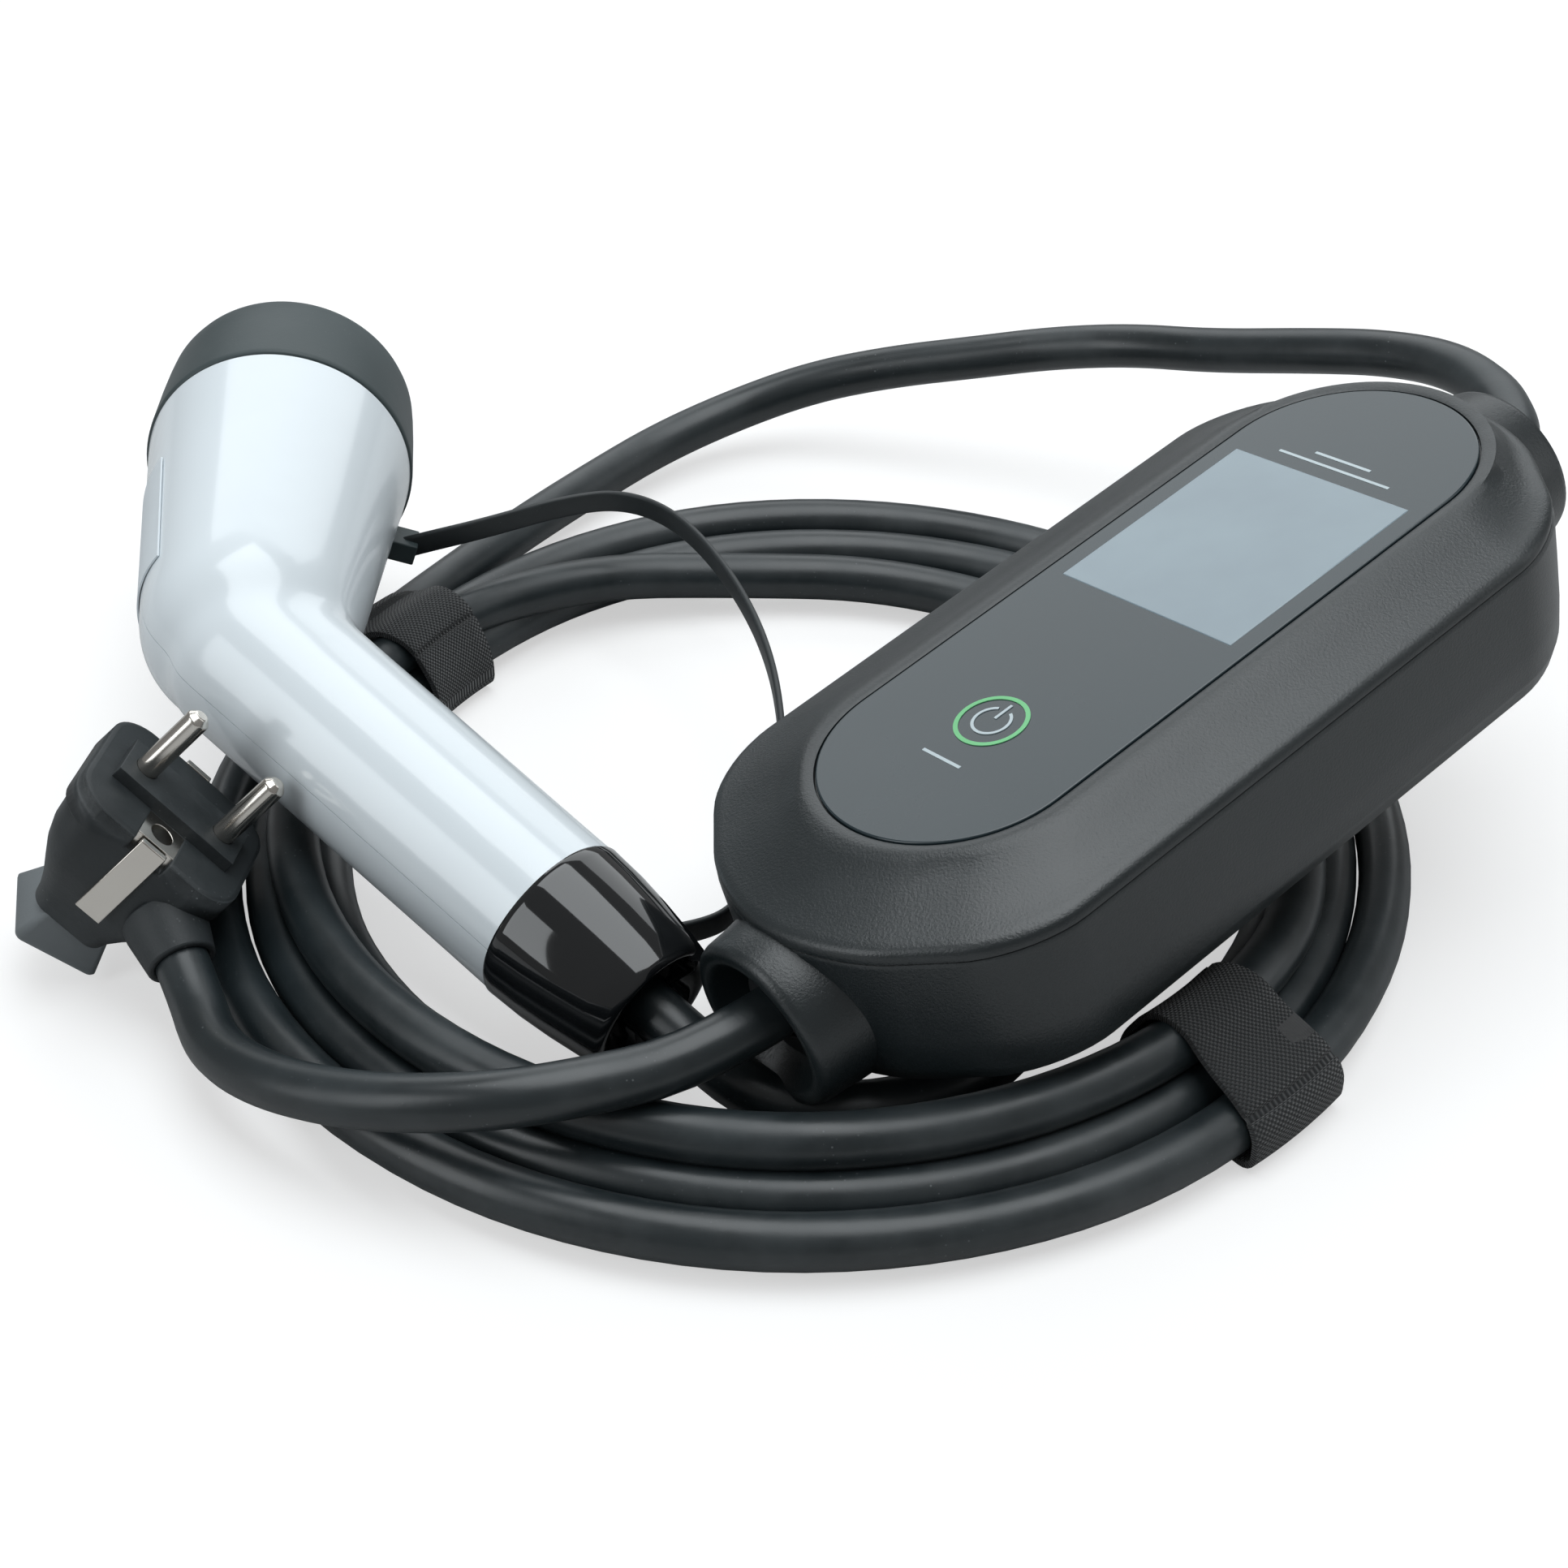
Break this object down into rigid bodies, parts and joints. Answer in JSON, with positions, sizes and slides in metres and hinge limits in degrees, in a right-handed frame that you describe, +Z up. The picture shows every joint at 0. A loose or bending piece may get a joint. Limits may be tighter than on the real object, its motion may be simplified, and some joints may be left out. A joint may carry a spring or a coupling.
{
  "type": "portable charging cable",
  "caption": "Portable vehicle charging cable with in-line control box, hand-held connector under a tethered cap, two-pin mains plug and a tied coil of lead.",
  "frame": {"origin": "on the floor under the middle of the connector, control box and ties, cords left out", "axes": "+Z up, +Y the way the connector's nose points, +X to the control box's far end"},
  "size_m": [0.315, 0.2965, 0.09],
  "materials": {
    "black_housing": "fine spark-eroded texture, matte",
    "plate": "dark slate, smooth gloss",
    "window": "tinted display window, gloss",
    "print": "green printed ring and symbol",
    "white_shell": "moulded white, high gloss",
    "label": "satin blank label",
    "cap_rubber": "matte elastomer",
    "black_gloss": "high gloss",
    "insulator": "moulded, matte",
    "plug_black": "matte moulded rubber",
    "flare_grey": "lighter moulded rubber",
    "nickel": "bright nickel plate",
    "silver_contact": "silver plated",
    "cable_sheath": "satin rubber sheath with a little dust",
    "tie_webbing": "woven hook and loop band",
    "seal_rubber": "soft, matte",
    "board_green": "glass-epoxy laminate with solder mask",
    "component": "moulded component cases",
    "steel": "zinc plated"
  },
  "bodies": {
    "root": {"board_screws": "steel", "bottom_housing": "black_housing", "cap_strap": "cap_rubber", "connector_lead": "cable_sheath", "connector_shell_lower": "white_shell", "connector_shell_upper": "white_shell", "contact_retainer": "insulator", "current_sensor": "component", "display_module": "component", "display_window": "window", "earth_socket": "nickel", "earth_strips": "nickel", "face_plate": "plate", "far_clamp": "black_housing", "far_grommet": "seal_rubber", "far_saddle": "black_housing", "housing_screws": "steel", "housing_seal": "seal_rubber", "main_board": "board_green", "mode_controller": "component", "near_clamp": "black_housing", "near_grommet": "seal_rubber", "near_saddle": "black_housing", "nose_insulator": "insulator", "nose_seal": "seal_rubber", "nose_sleeve": "insulator", "output_coil": "cable_sheath", "output_lead": "cable_sheath", "plug_body": "plug_black", "plug_bridge": "plug_black", "plug_grip": "flare_grey", "plug_lead": "cable_sheath", "plug_pins": "nickel", "plug_strain_relief": "plug_black", "power_contacts": "silver_contact", "power_supply": "component", "power_symbol": "print", "rating_label": "label", "relays": "component", "shell_screws": "steel", "signal_contacts": "silver_contact", "strap_anchor": "cap_rubber", "tail_collet": "black_gloss", "tail_nut": "black_gloss", "tail_seal": "seal_rubber", "terminal_block": "component", "tie_left": "tie_webbing", "tie_right": "tie_webbing", "top_housing": "black_housing", "touch_ring": "print", "touch_sensor": "component"},
    "cap": {"protective_cap": "cap_rubber"}
  },
  "joints": [
    {"name": "cap_pull", "type": "slide", "parent": "root", "child": "cap", "axis": [-0.045, 0.9989, 0.016], "range_m": [0, 0.045]}
  ]
}
